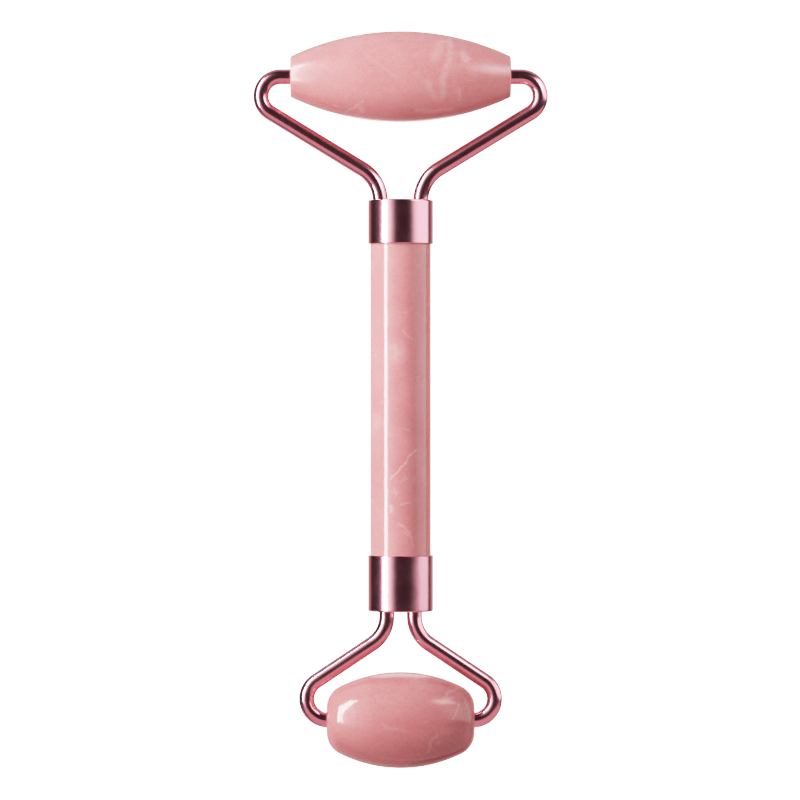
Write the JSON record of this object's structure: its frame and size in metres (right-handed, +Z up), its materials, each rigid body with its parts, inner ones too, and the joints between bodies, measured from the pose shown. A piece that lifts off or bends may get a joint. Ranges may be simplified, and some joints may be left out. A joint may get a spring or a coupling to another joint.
{
  "type": "face massage roller",
  "caption": "Double-ended face massage roller: polished stone handle, bent-wire forks held in metal ferrules, and a longer and a shorter barrel-shaped stone roller that spin in the forks.",
  "frame": {"origin": "on the table under the middle of the whole object, which lies on its rollers", "axes": "+X along the rollers' axles, +Y along the handle towards the large roller, +Z up from the table"},
  "size_m": [0.058, 0.145, 0.0189],
  "materials": {
    "stone": "polished",
    "rose_gold": "polished rose-gold plating on steel",
    "brass": "turned",
    "steel": "turned",
    "nylon": "moulded"
  },
  "bodies": {
    "handle": {"handle_rod": "stone", "large_ferrule": "rose_gold", "large_anchor_plug": "brass", "large_handle_stud": "steel", "large_left_arm": "rose_gold", "large_right_arm": "rose_gold", "small_ferrule": "rose_gold", "small_anchor_plug": "brass", "small_handle_stud": "steel", "small_left_arm": "rose_gold", "small_right_arm": "rose_gold"},
    "large_roller_body": {"large_roller": "stone", "large_left_bush": "nylon", "large_right_bush": "nylon"},
    "small_roller_body": {"small_roller": "stone", "small_left_bush": "nylon", "small_right_bush": "nylon"}
  },
  "joints": [
    {"name": "large_roller_spin", "type": "hinge", "parent": "handle", "child": "large_roller_body", "pos_m": [0, 0.0636, 0.00945], "axis": [1, 0, 0], "continuous": true},
    {"name": "small_roller_spin", "type": "hinge", "parent": "handle", "child": "small_roller_body", "pos_m": [0, -0.0631, 0.00945], "axis": [1, 0, 0], "continuous": true}
  ]
}
